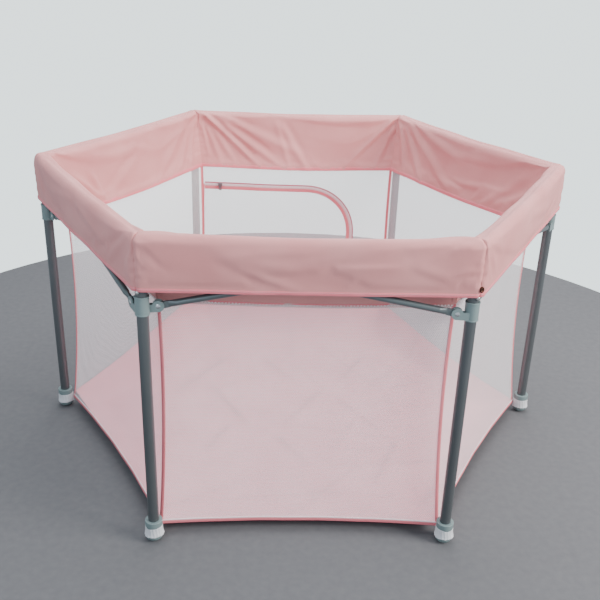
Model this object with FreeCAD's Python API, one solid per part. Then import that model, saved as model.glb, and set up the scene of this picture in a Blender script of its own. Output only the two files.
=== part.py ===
# Folding hexagonal playpen: six legs joined by six scissor pairs, with a padded sleeve cover over
# the top, net walls, a fabric floor and a zipped net door in the back wall.
# Millimetres, +Z up.  Origin: centre of the hexagon on the floor.  The front side faces -Y.
import FreeCAD, Part
import math
import os

from FreeCAD import Vector

# Frame
leg_circle = 594.0            # radius of the circle through the leg axes
hub_pivot_height = 630.0      # upper scissor pivots
scissor_rise = 109.0          # upper pivots above the lower ones, open
tube_diameter = 22.0          # leg tube
tube_wall = 1.2
arm_diameter = 12.7
arm_wall = 1.0
arm_gap = 0.8                 # between the two arms where they cross
paddle_thickness = 4.5        # flattened arm end
paddle_width = 13.0
paddle_length = 20.0
neck_length = 14.0            # from the flattened end to the round tube
ear_gap = 7.3                 # hub's round body to a flattened arm end

# Plastic fittings
hub_wall = 3.12
hub_below_pivot = 24.0
hub_above_pivot = 19.0
hub_cap = 4.0
slider_wall = 1.8
slider_below_pivot = 15.0
slider_above_pivot = 22.0
slider_rim = 3.0              # height of the thicker rim at each end of a slider
slider_rim_extra = 0.7
cheek_thickness = 2.5
cheek_radius = 11.0
ear_notch = 3.0               # top of an ear where it joins the round body, past the pivot
ear_foot = 2.0                # other edge of an ear, inside the round body's end
foot_wall = 6.42
foot_height = 48.0
foot_floor = 6.0
foot_round = 12.0
groove_height = 15.0          # foot strap groove, lower edge
groove_width = 21.0
groove_depth = 1.6
strap_thickness = 1.5

# Rivets
rivet_diameter = 5.0
rivet_head_extra = 2.0        # head past the shank, radial
rivet_head_height = 1.2

# Lock buttons
button_height_above_slider = 10.0
button_diameter = 9.0
button_stand_out = 4.2        # dome above the tube wall
button_travel = 4.0
leaf_thickness = 0.8
leaf_width = 7.0
leaf_top = 6.0                # leaf above the button's axis
leaf_length = 46.0            # leaf below the button's axis

# Clearances
slide_clearance = 0.4         # slider on leg tube, radial
seat_clearance = 0.08         # leg tube in foot and hub, radial
pin_clearance = 0.05          # rivet in hole, radial
cheek_clearance = 0.3         # flattened arm end to each cheek
button_clearance = 0.3
strap_clearance = 0.3
zip_clearance = 1.2
cover_side_clearance = 0.65   # inside of the skirts to the rivets of the crossing arms
cover_top_clearance = 2.5     # underside of the top pad to the hubs
foot_gap = 2.7                # net corner to foot

# Cover: a padded sleeve hung over each side, open below
cover_skin = 3.0
cover_pad = 12.5              # thickness of the padded ridge
outer_skirt_drop = 106.0      # ridge to the outer hem
inner_skirt_drop = 152.0      # ridge to the inner hem

# Net walls and floor
wall_thickness = 2.0
wall_inset_top = 42.0         # leg plane to the inner skirt's outside, at the hem
wall_inset_middle = 38.0
wall_bow_middle = 8.0         # extra inset half way along a side
wall_bow_bottom = 14.0
wall_bottom = 22.0
mat_gap = 1.0                 # floor fabric above the ground
mat_thickness = 2.5
mat_slope = 62.5              # width of the rim that rises to the walls

# Door in the back wall
door_drop = 52.0              # inner hem to the top of the door
door_above_foot = 10.0
door_free_margin = 105.0      # far seam to the door's free edge
door_corner_radius = 140.0
door_seam_strip = 6.0         # net left between the corner seam and the door
door_lean = 15.0              # how far the seam runs out towards the leg, top to bottom
door_gap = 1.2

# Zip slider
zip_start = 46.0              # from the door's hinge edge
zip_body_length = 12.0
zip_body_height = 10.0
zip_body_thickness = 4.0
zip_tab_length = 15.0
zip_tab_width = 8.0
zip_tab_thickness = 1.4
zip_tab_hole = 3.0

corners = [
    ("back_left", 120.0),
    ("left", 180.0),
    ("front_left", 240.0),
    ("front_right", 300.0),
    ("right", 0.0),
    ("back_right", 60.0),
]
sides = ["left_rear", "left_front", "front", "right_front", "right_rear", "back"]

# Worked-out sizes
side_length = leg_circle
mitre = math.tan(math.radians(30.0))
tube_radius = tube_diameter / 2.0
arm_radius = arm_diameter / 2.0
arm_offset = arm_radius + arm_gap / 2.0
hub_radius = tube_radius + seat_clearance + hub_wall
slider_radius = tube_radius + slide_clearance + slider_wall
foot_radius = tube_radius + seat_clearance + foot_wall
ear_reach = hub_radius + paddle_width / 2.0 + ear_gap
arm_run = side_length - 2.0 * ear_reach
arm_length = math.hypot(arm_run, scissor_rise)
arm_angle = math.degrees(math.atan2(scissor_rise, arm_run))
cheek_inner = paddle_thickness / 2.0 + cheek_clearance
cheek_outer = cheek_inner + cheek_thickness
rivet_radius = rivet_diameter / 2.0
rivet_head_radius = rivet_radius + rivet_head_extra
hub_bottom = hub_pivot_height - hub_below_pivot
hub_top = hub_pivot_height + hub_above_pivot
slider_pivot_height = hub_pivot_height - scissor_rise
slider_bottom = slider_pivot_height - slider_below_pivot
slider_top = slider_pivot_height + slider_above_pivot
button_height = slider_top + button_height_above_slider
frame_half_width = arm_offset + max(arm_radius, cheek_outer) + pin_clearance + rivet_head_height
cover_half_width = max(frame_half_width, hub_radius) + cover_side_clearance + cover_skin
cover_ceiling = hub_top + cover_top_clearance
cover_top = cover_ceiling + cover_pad
cover_shoulder = cover_ceiling - 0.5
outer_skirt_bottom = cover_top - outer_skirt_drop
inner_skirt_bottom = cover_top - inner_skirt_drop
wall_inset_bottom = (foot_radius + foot_gap) * math.cos(math.radians(30.0))
door_top = inner_skirt_bottom - door_drop
door_sill = foot_height + door_above_foot
door_hinge = side_length - mitre * wall_inset_top - door_seam_strip
up = Vector(0, 0, 1)
along = Vector(1, 0, 0)
across = Vector(0, 1, 0)

os.makedirs("parts", exist_ok=True)


def write(shape, name):
    """Write one node, after joining split faces."""
    clean = shape.removeSplitter()
    clean.exportStep("parts/" + name + ".step")
    print(name, "solids", len(clean.Solids), "valid", clean.isValid(), "volume", round(clean.Volume))


def rod(radius, length, base, direction=up):
    return Part.makeCylinder(radius, length, base, direction)


def fuse_all(shapes):
    return shapes[0].fuse(shapes[1:]) if len(shapes) > 1 else shapes[0]


def edges_at(shape, height, radius):
    """Round edges of the given radius that lie at one height."""
    found = []
    for edge in shape.Edges:
        if not isinstance(edge.Curve, Part.Circle):
            continue
        if abs(edge.Curve.Radius - radius) > 0.01 or abs(edge.Curve.Center.z - height) > 0.01:
            continue
        if edge.BoundBox.ZLength < 0.01:
            found.append(edge)
    return found


def at_corner(shape, corner):
    """From the corner's own frame (X pointing outwards, leg on the Z axis) to its place."""
    angle = corners[corner][1]
    placed = shape.copy()
    placed.translate(Vector(leg_circle, 0, 0))
    placed.rotate(Vector(0, 0, 0), up, angle)
    return placed


def at_side(shape, side):
    """From the side's own frame (X from leg to next leg, Y inwards) to its place."""
    angle = corners[side][1]
    placed = shape.copy()
    placed.rotate(Vector(0, 0, 0), up, 120.0)
    placed.translate(Vector(leg_circle, 0, 0))
    placed.rotate(Vector(0, 0, 0), up, angle)
    return placed


# ---- legs and fittings -------------------------------------------------------------------

def make_clevis(direction, offset, pivot_height, foot_end, arm_side):
    """Two ears that hold a flattened arm end, ear_reach away from the leg.

    Each ear is a disc round the pivot with a web that spreads to foot_end on the round body;
    arm_side is 1 where the arm leaves upwards and -1 where it leaves downwards."""
    plates = []
    notch = pivot_height + arm_side * ear_notch
    for low in (cheek_inner, -cheek_outer):
        web = Part.Face(Part.makePolygon([
            Vector(0, offset + low, foot_end),
            Vector(ear_reach - 2.0, offset + low, pivot_height - arm_side * cheek_radius),
            Vector(ear_reach, offset + low, notch),
            Vector(0, offset + low, notch),
            Vector(0, offset + low, foot_end),
        ])).extrude(Vector(0, cheek_thickness, 0))
        end = rod(cheek_radius, cheek_thickness, Vector(ear_reach, offset + low, pivot_height), across)
        plates.append(web.fuse(end))
    hole = rod(rivet_radius + pin_clearance, 2.0 * cheek_outer + 2.0,
               Vector(ear_reach, offset - cheek_outer - 1.0, pivot_height), across)
    clevis = fuse_all(plates).cut(hole)
    clevis.rotate(Vector(0, 0, 0), up, direction)
    return clevis


def make_leg_tube():
    height = hub_top - hub_cap - foot_floor
    tube = rod(tube_radius, height, Vector(0, 0, foot_floor))
    bore = rod(tube_radius - tube_wall, height, Vector(0, 0, foot_floor))
    hole = rod(button_diameter / 2.0 + button_clearance, tube_diameter, Vector(0, 0, button_height), along)
    return tube.cut(bore).cut(hole)


def make_foot():
    radius = foot_radius
    foot = rod(radius, foot_height, Vector(0, 0, 0))
    foot = foot.makeFillet(foot_round, edges_at(foot, 0.0, radius))
    foot = foot.makeFillet(1.5, edges_at(foot, foot_height, radius))
    socket = rod(tube_radius + seat_clearance, foot_height, Vector(0, 0, foot_floor))
    ring = rod(radius + 1.0, groove_width, Vector(0, 0, groove_height))
    core = rod(radius - groove_depth, groove_width, Vector(0, 0, groove_height))
    return foot.cut(socket).cut(ring.cut(core))


def make_hub():
    radius = hub_radius
    body = rod(radius, hub_top - hub_bottom, Vector(0, 0, hub_bottom))
    body = body.makeFillet(3.0, edges_at(body, hub_top, radius))
    clevises = [make_clevis(turn, -arm_offset, hub_pivot_height, hub_top - hub_cap - ear_foot, -1.0)
                for turn in (120.0, -120.0)]
    socket = rod(tube_radius + seat_clearance, hub_top - hub_cap - hub_bottom, Vector(0, 0, hub_bottom))
    return fuse_all([body] + clevises).cut(socket)


def make_slider():
    radius = slider_radius
    height = slider_top - slider_bottom
    body = rod(radius, height, Vector(0, 0, slider_bottom))
    rims = []
    for base in (slider_bottom, slider_top - slider_rim):
        rim = rod(radius + slider_rim_extra, slider_rim, Vector(0, 0, base))
        rims.append(rim.makeFillet(0.8, rim.Edges))
    clevises = [make_clevis(turn, arm_offset, slider_pivot_height, slider_bottom + ear_foot, 1.0)
                for turn in (120.0, -120.0)]
    bore = rod(tube_radius + slide_clearance, height + 2.0, Vector(0, 0, slider_bottom - 1.0))
    return fuse_all([body] + rims + clevises).cut(bore)


def make_button():
    """Domed button on a leaf spring; the dome stands out of the leg's outer side."""
    radius = button_diameter / 2.0
    inside = tube_radius - tube_wall - button_clearance
    dome_base = tube_radius + button_stand_out / 2.0
    dome_height = button_stand_out / 2.0
    stem_start = inside - leaf_thickness
    stem = rod(radius, dome_base - stem_start, Vector(stem_start, 0, button_height), along)
    ball_radius = (radius ** 2 + dome_height ** 2) / (2.0 * dome_height)
    ball = Part.makeSphere(ball_radius, Vector(dome_base + dome_height - ball_radius, 0, button_height))
    cap = ball.common(rod(radius, button_diameter, Vector(dome_base, 0, button_height), along))
    leaf_x = math.sqrt(inside ** 2 - (leaf_width / 2.0) ** 2) - leaf_thickness
    plate = Part.makeBox(leaf_thickness, leaf_width, 2.0 * leaf_top,
                         Vector(leaf_x, -leaf_width / 2.0, button_height - leaf_top))
    neck = rod(radius / 2.0, stem_start - leaf_x + 0.1, Vector(leaf_x, 0, button_height), along)
    leaf_low_x = -(tube_radius - tube_wall) + button_travel + 3.0 * leaf_thickness
    profile = Part.makePolygon([
        Vector(leaf_x, 0, button_height - leaf_top + leaf_thickness),
        Vector(leaf_x + leaf_thickness, 0, button_height - leaf_top),
        Vector(leaf_low_x + leaf_thickness, 0, button_height - leaf_length),
        Vector(leaf_low_x, 0, button_height - leaf_length),
        Vector(leaf_x, 0, button_height - leaf_top + leaf_thickness),
    ])
    leaf = Part.Face(profile).extrude(Vector(0, leaf_width, 0))
    leaf.translate(Vector(0, -leaf_width / 2.0, 0))
    return fuse_all([stem, neck, cap, plate, leaf])


# ---- scissor arms ------------------------------------------------------------------------

def make_arm():
    """An arm along X from its first pivot at the origin, flattened at both ends."""
    half = paddle_thickness / 2.0
    tube_start = paddle_length + neck_length
    pieces = [rod(arm_radius, arm_length - 2.0 * tube_start, Vector(tube_start, 0, 0), along)]
    for pivot, way in ((0.0, 1.0), (arm_length, -1.0)):
        tip = rod(paddle_width / 2.0, paddle_thickness, Vector(pivot, -half, 0), across)
        start = min(pivot, pivot + way * paddle_length)
        plate = Part.makeBox(paddle_length, paddle_thickness, paddle_width,
                             Vector(start, -half, -paddle_width / 2.0))
        flat = Part.Ellipse(Vector(0, 0, 0), paddle_width / 2.0, half).toShape()
        flat.rotate(Vector(0, 0, 0), across, 90.0)
        flat.translate(Vector(pivot + way * (paddle_length - 2.0), 0, 0))
        end = Part.Circle(Vector(0, 0, 0), up, arm_radius).toShape()
        end.rotate(Vector(0, 0, 0), across, 90.0)
        end.translate(Vector(pivot + way * tube_start, 0, 0))
        neck = Part.makeLoft([Part.Wire(flat), Part.Wire(end)], True, False)
        pieces += [tip, plate, neck]
    arm = fuse_all(pieces)
    bore = rod(arm_radius - arm_wall, arm_length - 2.0 * tube_start - 4.0,
               Vector(tube_start + 2.0, 0, 0), along)
    holes = []
    for place in (0.0, arm_length / 2.0, arm_length):
        holes.append(rod(rivet_radius + pin_clearance, 2.0 * arm_diameter, Vector(place, -arm_diameter, 0), across))
    return arm.cut(bore).cut(fuse_all(holes))


def make_rivet(place, low, high):
    """A round-headed rivet along Y from low to high, with a head past each end."""
    shank = rod(rivet_radius, high - low + 2.0 * pin_clearance, Vector(place, low - pin_clearance, 0), across)
    parts = [shank]
    head_radius = rivet_head_radius
    ball_radius = (head_radius ** 2 + rivet_head_height ** 2) / (2.0 * rivet_head_height)
    for face, way in ((high + pin_clearance, 1.0), (low - pin_clearance, -1.0)):
        ball = Part.makeSphere(ball_radius, Vector(place, face - way * (ball_radius - rivet_head_height), 0))
        slab = rod(head_radius, rivet_head_height + 1.0, Vector(place, face, 0), across * way)
        parts.append(ball.common(slab))
    return fuse_all(parts)


def place_outer(shape):
    """Outer arm: from the hub of its first leg down to the slider of the next."""
    placed = shape.copy()
    placed.rotate(Vector(0, 0, 0), across, arm_angle)
    placed.translate(Vector(ear_reach, -arm_offset, hub_pivot_height))
    return placed


def place_inner(shape):
    """Inner arm: from the slider of its first leg up to the hub of the next."""
    placed = shape.copy()
    placed.rotate(Vector(0, 0, 0), across, -arm_angle)
    placed.translate(Vector(ear_reach, arm_offset, slider_pivot_height))
    return placed


def make_end_rivets():
    return [make_rivet(place, -cheek_outer, cheek_outer) for place in (0.0, arm_length)]


def make_centre_rivet():
    """Fixed in the outer arm, it also passes through the inner arm beside it."""
    return make_rivet(arm_length / 2.0, -arm_radius, 2.0 * arm_offset + arm_radius)


# ---- fabric ------------------------------------------------------------------------------

def make_cover_panel():
    """Outer skirt, round padded ridge and the longer inner skirt, mitred at the legs."""
    half = cover_half_width
    outside = [
        Part.makeLine(Vector(0, -half, outer_skirt_bottom), Vector(0, -half, cover_shoulder)),
        Part.Arc(Vector(0, -half, cover_shoulder), Vector(0, 0, cover_top),
                 Vector(0, half, cover_shoulder)).toShape(),
        Part.makeLine(Vector(0, half, cover_shoulder), Vector(0, wall_inset_top, inner_skirt_bottom)),
        Part.makeLine(Vector(0, wall_inset_top, inner_skirt_bottom),
                      Vector(0, wall_inset_top - cover_skin, inner_skirt_bottom)),
        Part.makeLine(Vector(0, wall_inset_top - cover_skin, inner_skirt_bottom),
                      Vector(0, half - cover_skin, cover_shoulder - cover_skin)),
        Part.makeLine(Vector(0, half - cover_skin, cover_shoulder - cover_skin),
                      Vector(0, half - cover_skin, cover_ceiling)),
        Part.makeLine(Vector(0, half - cover_skin, cover_ceiling),
                      Vector(0, cover_skin - half, cover_ceiling)),
        Part.makeLine(Vector(0, cover_skin - half, cover_ceiling),
                      Vector(0, cover_skin - half, outer_skirt_bottom)),
        Part.makeLine(Vector(0, cover_skin - half, outer_skirt_bottom),
                      Vector(0, -half, outer_skirt_bottom)),
    ]
    section = Part.Face(Part.Wire(outside))
    section.translate(Vector(-half, 0, 0))
    length = side_length + 2.0 * half
    panel = section.extrude(Vector(length, 0, 0))
    return panel.common(make_mitre_block(2.0 * wall_inset_top))


def make_mitre_block(reach):
    """Everything that belongs to one side: between the upright planes through its two legs."""
    outline = Part.makePolygon([
        Vector(-mitre * reach, -reach, 0),
        Vector(side_length + mitre * reach, -reach, 0),
        Vector(side_length - mitre * reach, reach, 0),
        Vector(mitre * reach, reach, 0),
        Vector(-mitre * reach, -reach, 0),
    ])
    return Part.Face(outline).extrude(Vector(0, 0, cover_top + 10.0))


def bowed_edge(inset, bow, height):
    """Line along a side at one height, from mitre to mitre, bowed inwards."""
    first = Vector(mitre * inset, inset, height)
    last = Vector(side_length - mitre * inset, inset, height)
    if bow < 0.01:
        return Part.makeLine(first, last)
    return Part.Arc(first, Vector(side_length / 2.0, inset + bow, height), last).toShape()


def wall_ring(inset, bow, height):
    """Closed outline of the wall's thickness at one height."""
    outer = bowed_edge(inset, bow, height)
    inner = bowed_edge(inset + wall_thickness, bow, height)
    first = Part.makeLine(outer.Vertexes[0].Point, inner.Vertexes[0].Point)
    last = Part.makeLine(outer.Vertexes[-1].Point, inner.Vertexes[-1].Point)
    return Part.Wire(Part.sortEdges([outer, last, inner, first])[0])


def make_wall():
    middle = (inner_skirt_bottom + wall_bottom) / 2.0
    rings = [
        wall_ring(wall_inset_top - cover_skin, 0.2, inner_skirt_bottom),
        wall_ring(wall_inset_middle, wall_bow_middle, middle),
        wall_ring(wall_inset_bottom, wall_bow_bottom, wall_bottom),
    ]
    return Part.makeLoft(rings, True, False)


def make_door_prism(shrink):
    """Upright prism with the door's outline; the door hinges at the end of the back side."""
    hinge = door_hinge - shrink
    free = mitre * wall_inset_top + door_free_margin + shrink
    low = door_sill + shrink
    high = door_top - shrink
    radius = door_corner_radius - shrink
    bend = radius * (1.0 - math.sqrt(0.5))
    edges = [
        Part.makeLine(Vector(hinge + door_lean, 0, low), Vector(hinge, 0, high)),
        Part.makeLine(Vector(hinge, 0, high), Vector(free + radius, 0, high)),
        Part.Arc(Vector(free + radius, 0, high), Vector(free + bend, 0, high - bend),
                 Vector(free, 0, high - radius)).toShape(),
        Part.makeLine(Vector(free, 0, high - radius), Vector(free, 0, low)),
        Part.makeLine(Vector(free, 0, low), Vector(hinge + door_lean, 0, low)),
    ]
    face = Part.Face(Part.Wire(edges))
    return face.extrude(Vector(0, 2.0 * wall_inset_top, 0))


def floor_outline(inset, bow, height):
    """Closed outline round all six sides."""
    edges = []
    for side in range(6):
        edges.append(at_side(bowed_edge(inset, bow, height), side))
    return Part.Wire(Part.sortEdges(edges)[0])


def make_floor_mat():
    """Thin tray: flat on the ground in the middle, rising to the bottom of the walls."""
    flat = wall_inset_bottom + mat_slope
    below = Part.makeLoft([floor_outline(flat, 0.2, mat_gap),
                           floor_outline(wall_inset_bottom, wall_bow_bottom, wall_bottom)], True, True)
    above = Part.makeLoft([floor_outline(flat, 0.2, mat_gap + mat_thickness),
                           floor_outline(wall_inset_bottom, wall_bow_bottom, wall_bottom + mat_thickness)],
                          True, True)
    return below.cut(above)


def make_foot_strap():
    """Band round the foot's groove."""
    inner = foot_radius - groove_depth + strap_clearance
    outer = inner + strap_thickness
    height = groove_width - 2.0 * strap_clearance
    base = Vector(0, 0, groove_height + strap_clearance)
    return rod(outer, height, base).cut(rod(inner, height, base))


def make_zip_slider():
    """Slider body on the inside of the back wall, with a pull tab hanging from it."""
    start = door_hinge - zip_start
    face = wall_inset_top + wall_thickness + zip_clearance
    body = Part.makeBox(zip_body_length, zip_body_thickness, zip_body_height,
                        Vector(start - zip_body_length / 2.0, face, door_top - zip_body_height / 2.0))
    body = body.makeFillet(1.5, body.Edges)
    tab_low = door_top - zip_body_height / 2.0 - zip_tab_length + 4.0
    tab_face = face + zip_body_thickness - 0.2
    tab = Part.makeBox(zip_tab_width, zip_tab_thickness, zip_tab_length,
                       Vector(start - zip_tab_width / 2.0, tab_face, tab_low))
    uprights = [edge for edge in tab.Edges if edge.BoundBox.YLength > zip_tab_thickness - 0.1
                and edge.BoundBox.ZLength < 0.1 and edge.BoundBox.XLength < 0.1]
    tab = tab.makeFillet(2.5, uprights)
    hole = rod(zip_tab_hole / 2.0, 4.0, Vector(start, tab_face - 1.0, tab_low + 5.0), across)
    return body.fuse(tab.cut(hole))


# ---- build -------------------------------------------------------------------------------

leg_tube = make_leg_tube()
foot = make_foot()
hub = make_hub()
slider = make_slider()
button = make_button()
for index, (corner_name, angle) in enumerate(corners):
    write(at_corner(leg_tube, index), "leg_tube_" + corner_name)
    write(at_corner(foot, index), "foot_" + corner_name)
    write(at_corner(hub, index), "top_hub_" + corner_name)
    write(at_corner(slider, index), "slider_" + corner_name)
    write(at_corner(button, index), "lock_button_" + corner_name)

arm = make_arm()
outer_rivets = Part.Compound([place_outer(rivet) for rivet in make_end_rivets() + [make_centre_rivet()]])
inner_rivets = Part.Compound([place_inner(rivet) for rivet in make_end_rivets()])
for index, side_name in enumerate(sides):
    write(at_side(place_outer(arm), index), "outer_arm_" + side_name)
    write(at_side(place_inner(arm), index), "inner_arm_" + side_name)
    write(at_side(outer_rivets, index), "outer_arm_rivets_" + side_name)
    write(at_side(inner_rivets, index), "inner_arm_rivets_" + side_name)

panel = make_cover_panel()
write(Part.Compound([at_side(panel, index) for index in range(6)]), "top_cover")

wall = make_wall()
back = sides.index("back")
walls = [at_side(wall, index) for index in range(6) if index != back]
walls.append(at_side(wall.cut(make_door_prism(0.0)), back))
write(Part.Compound(walls), "mesh_walls")
write(at_side(wall.common(make_door_prism(door_gap)), back), "door_flap")
write(at_side(make_zip_slider(), back), "zip_slider")
write(make_floor_mat(), "floor_mat")
strap = make_foot_strap()
write(Part.Compound([at_corner(strap, index) for index in range(6)]), "foot_straps")

print("arm length", round(arm_length, 2), "open angle", round(arm_angle, 3))
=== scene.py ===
import math
import bmesh
import bpy
import numpy as np
from mathutils import Matrix, Vector
from mathutils.geometry import delaunay_2d_cdt


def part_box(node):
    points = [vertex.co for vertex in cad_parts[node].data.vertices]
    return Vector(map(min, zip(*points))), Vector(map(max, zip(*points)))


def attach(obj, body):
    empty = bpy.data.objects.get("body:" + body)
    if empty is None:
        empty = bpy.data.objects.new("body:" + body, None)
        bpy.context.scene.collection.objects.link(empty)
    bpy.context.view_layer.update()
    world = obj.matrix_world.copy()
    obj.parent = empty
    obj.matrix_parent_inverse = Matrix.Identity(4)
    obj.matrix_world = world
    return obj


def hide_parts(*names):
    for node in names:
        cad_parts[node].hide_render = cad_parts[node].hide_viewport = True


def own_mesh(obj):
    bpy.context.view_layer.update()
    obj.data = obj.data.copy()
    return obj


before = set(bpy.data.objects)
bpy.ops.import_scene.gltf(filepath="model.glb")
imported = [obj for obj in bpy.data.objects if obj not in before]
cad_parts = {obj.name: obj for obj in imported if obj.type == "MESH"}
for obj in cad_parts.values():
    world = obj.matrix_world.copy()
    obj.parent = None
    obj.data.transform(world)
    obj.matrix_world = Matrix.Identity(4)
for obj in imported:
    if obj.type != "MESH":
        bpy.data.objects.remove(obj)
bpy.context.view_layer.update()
scene = bpy.context.scene

# ---- the hexagon: six legs, six sides, all read from the frame ----

cornerNames = ["back_left", "left", "front_left", "front_right", "right", "back_right"]
sideNames = ["left_rear", "left_front", "front", "right_front", "right_rear", "back"]
legBodies = ["root"] + ["leg_" + name for name in cornerNames[1:]]
backSide = 5
mitre = math.tan(math.radians(30))


def boxMiddle(node):
    low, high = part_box(node)
    return (low + high) / 2


corners = [Vector(boxMiddle("leg_tube_" + name).xy) for name in cornerNames]
sideLength = (corners[1] - corners[0]).length
alongs = [((corners[(i + 1) % 6] - corners[i]).normalized()) for i in range(6)]
inwards = [Vector((-u.y, u.x)) for u in alongs]
coverLow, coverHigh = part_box("top_cover")
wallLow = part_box("mesh_walls")[0]
outerHemHeight = 0.558
innerHemHeight = coverLow.z
ridgeHeight = coverHigh.z
coverHalf = abs(boxMiddle("leg_tube_front_left").y - coverLow.y)


def onSide(side, along, inset, height):
    # arrays or numbers in, an array of points out
    along, inset, height = np.broadcast_arrays(*map(np.asarray, (along, inset, height)))
    u, n, c = alongs[side], inwards[side], corners[side]
    return np.stack([c.x + u.x * along + n.x * inset, c.y + u.y * along + n.y * inset,
                     height + 0.0 * along], axis=-1).astype(float)


def smooth(x, low, high):
    t = np.clip((np.asarray(x, float) - low) / (high - low), 0, 1)
    return t * t * (3 - 2 * t)


# ---- shader maths ----

class Wire:
    # one node output, with arithmetic
    def __init__(self, tree, socket):
        self.tree, self.socket = tree, socket

    def work(self, operation, *values):
        node = self.tree.nodes.new("ShaderNodeMath")
        node.operation = operation
        plug(self.tree, node, dict(enumerate(values)))
        return Wire(self.tree, node.outputs[0])

    def __add__(self, other):
        return self.work("ADD", self, other)

    def __sub__(self, other):
        return self.work("SUBTRACT", self, other)

    def __rsub__(self, other):
        return self.work("SUBTRACT", other, self)

    def __mul__(self, other):
        return self.work("MULTIPLY", self, other)

    def __truediv__(self, other):
        return self.work("DIVIDE", self, other)


def plug(tree, node, inputs):
    for key, value in inputs.items():
        if isinstance(value, Wire):
            tree.links.new(value.socket, node.inputs[key])
        elif value is not None:
            node.inputs[key].default_value = value


class Finish:
    # a material with one Principled shader
    def __init__(self, name, **fixed):
        self.material = bpy.data.materials.new(name)
        self.material.use_nodes = True
        self.tree = self.material.node_tree
        self.shader = next(n for n in self.tree.nodes if n.type == "BSDF_PRINCIPLED")
        for key, value in fixed.items():
            self.shader.inputs[key.replace("_", " ")].default_value = value

    def node(self, kind, settings=None, inputs=None, output=0):
        node = self.tree.nodes.new(kind)
        for key, value in (settings or {}).items():
            setattr(node, key, value)
        plug(self.tree, node, inputs or {})
        return Wire(self.tree, node.outputs[output])

    def objectPlace(self):
        return self.node("ShaderNodeTexCoord", output="Object")

    def uvPlace(self):
        return self.node("ShaderNodeUVMap", {"uv_map": "UVMap"})

    def axes(self, place):
        split = self.node("ShaderNodeSeparateXYZ", None, {0: place})
        return [Wire(self.tree, split.socket.node.outputs[i]) for i in range(3)]

    def noise(self, place, scale, detail=3.0, roughness=0.5):
        return self.node("ShaderNodeTexNoise", None,
                         {"Vector": place, "Scale": scale, "Detail": detail, "Roughness": roughness})

    def mix(self, share, first, second):
        node = self.tree.nodes.new("ShaderNodeMix")
        node.data_type = "RGBA"
        plug(self.tree, node, {0: share, 6: first, 7: second})
        return Wire(self.tree, node.outputs[2])

    def bump(self, height, distance, strength=1.0):
        return self.node("ShaderNodeBump", None,
                         {"Height": height, "Distance": distance, "Strength": strength})

    def set(self, **links):
        plug(self.tree, self.shader, {k.replace("_", " "): v for k, v in links.items()})
        return self.material


def srgb(red, green, blue):
    channels = [c / 255 / 12.92 if c <= 10 else ((c / 255 + 0.055) / 1.055) ** 2.4
                for c in (red, green, blue)]
    return (*channels, 1.0)


def scaled(colour, share):
    # a colour made darker or lighter
    return tuple(min(1.0, share * c) for c in srgb(*colour)[:3]) + (1.0,)


def wovenCloth(name, colour, shade, pitch, relief, sheen, roughness, ribs=False, foldShaded=False):
    # plain weave: warp and weft threads that pass over each other
    f = Finish(name, Sheen_Weight=sheen, Sheen_Roughness=0.4, Specular_IOR_Level=0.3)
    place = f.uvPlace()
    u, v, _ = f.axes(place)
    turn = 2 * math.pi / pitch
    warp = (u * turn).work("SINE", u * turn)
    weft = (v * turn).work("SINE", v * turn)
    weave = warp if ribs else warp * weft
    patch = f.noise(f.objectPlace(), 9.0, 4.0)
    slub = f.noise(place, 420.0, 2.0)
    base = f.mix((patch - 0.32) * 2.2, srgb(*shade), srgb(*colour))
    dark = scaled(shade, 0.72)
    base = f.mix((0.5 - weave * 0.5) * 0.22 + (slub - 0.5) * 0.25, base, dark)
    # painted shade: the colour darkens along the floor's folds, read from the crease attribute
    if foldShaded:
        fold = f.node("ShaderNodeAttribute", {"attribute_name": "crease"}, output="Fac")
        base = f.mix(fold * 0.85, base, dark)
    height = weave * 0.5 + slub * 0.6
    return f.set(Base_Color=base, Roughness=(slub * 0.12) + (roughness - 0.06),
                 Normal=f.bump(height, relief, 0.8))


def netCloth(name, colour, pitch, cover, thin):
    # knitted net: rows of round holes, every second row half a pitch over
    f = Finish(name, Roughness=0.75, Sheen_Weight=0.25, Specular_IOR_Level=0.2)
    u, v, _ = f.axes(f.uvPlace())
    row = v / (pitch * 0.87)
    step = row.work("FLOOR", row)
    shift = step.work("MODULO", step, 2.0) * 0.5
    cell = u / pitch + shift
    across = cell.work("FRACT", cell) - 0.5
    down = row.work("FRACT", row) - 0.5
    square = across * across + down * down * 0.8
    distance = square.work("SQRT", square)
    solid = distance.work("SMOOTH_MIN", (distance - 0.3) * 8.0, 1.0, 0.2)
    thread = solid.work("MAXIMUM", solid, thin)
    f.material.surface_render_method = "DITHERED"
    base = f.mix(f.noise(f.objectPlace(), 12.0, 2.0), srgb(*colour), scaled(colour, 0.93))
    return f.set(Base_Color=base, Alpha=thread.work("MINIMUM", thread, cover),
                 Normal=f.bump(distance, 0.0004, 0.5))


def paintedSteel(name, colour, roughness, metallic, flake):
    f = Finish(name, Specular_IOR_Level=0.5)
    place = f.objectPlace()
    fine = f.noise(place, 900.0, 2.0)
    wide = f.noise(place, 14.0, 3.0)
    base = f.mix(fine * flake + wide * 0.25, srgb(*colour), scaled(colour, 1.45))
    rough = wide * 0.14 + fine * 0.06 + (roughness - 0.1)
    return f.set(Base_Color=base, Metallic=metallic, Roughness=rough, Normal=f.bump(fine, 0.00008, 0.4))


def mouldedPlastic(name, colour, roughness):
    f = Finish(name, Specular_IOR_Level=0.45)
    place = f.objectPlace()
    grain = f.noise(place, 1400.0, 2.0)
    cloud = f.noise(place, 30.0, 3.0)
    base = f.mix(cloud, srgb(*colour), scaled(colour, 0.86))
    return f.set(Base_Color=base, Roughness=grain * 0.12 + cloud * 0.1 + (roughness - 0.1),
                 Normal=f.bump(grain, 0.00012, 0.5))


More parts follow.
